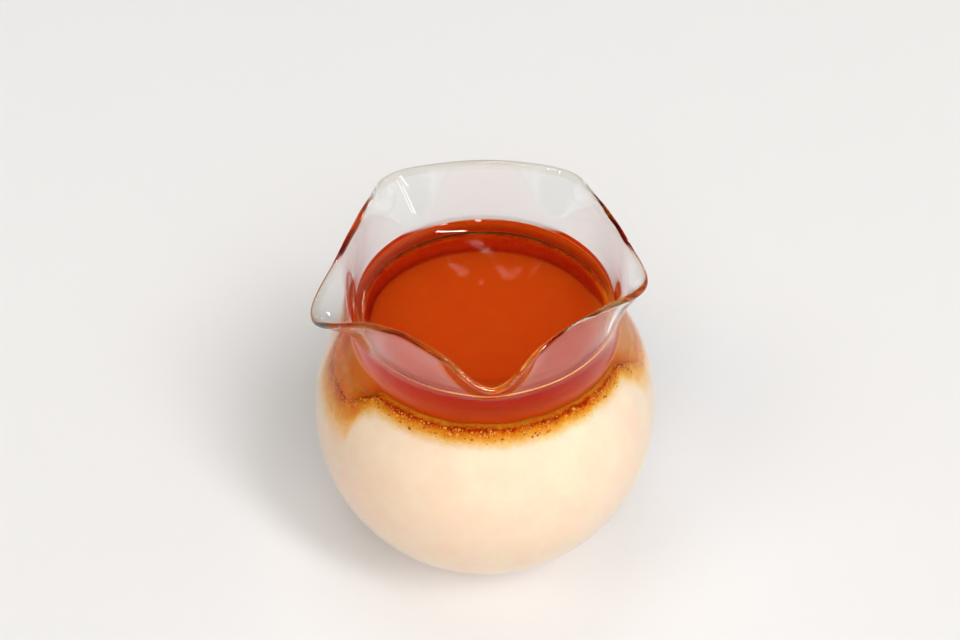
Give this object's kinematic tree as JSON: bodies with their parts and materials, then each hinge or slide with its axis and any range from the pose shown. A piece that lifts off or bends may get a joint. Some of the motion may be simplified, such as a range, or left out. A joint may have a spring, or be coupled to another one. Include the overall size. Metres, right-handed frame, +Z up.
{
  "type": "caramel pudding in a glass jar",
  "caption": "Set custard pudding under a layer of clear caramel syrup, in a round glass jar with a short neck and a flared lip drawn out into rounded corners.",
  "frame": {"origin": "centre of the flat foot that the jar stands on, on the table's surface", "axes": "+Z up along the jar's axis; -Y towards the side whose lip corner is drawn lowest, as it is served"},
  "size_m": [0.0658, 0.0658, 0.0718],
  "materials": {
    "glass": "clear blown glass, fire-polished lip",
    "custard": "smooth set custard, softly translucent",
    "caramel": "clear red-amber syrup"
  },
  "bodies": {
    "root": {"jar": "glass", "custard": "custard", "caramel": "caramel"}
  },
  "joints": []
}
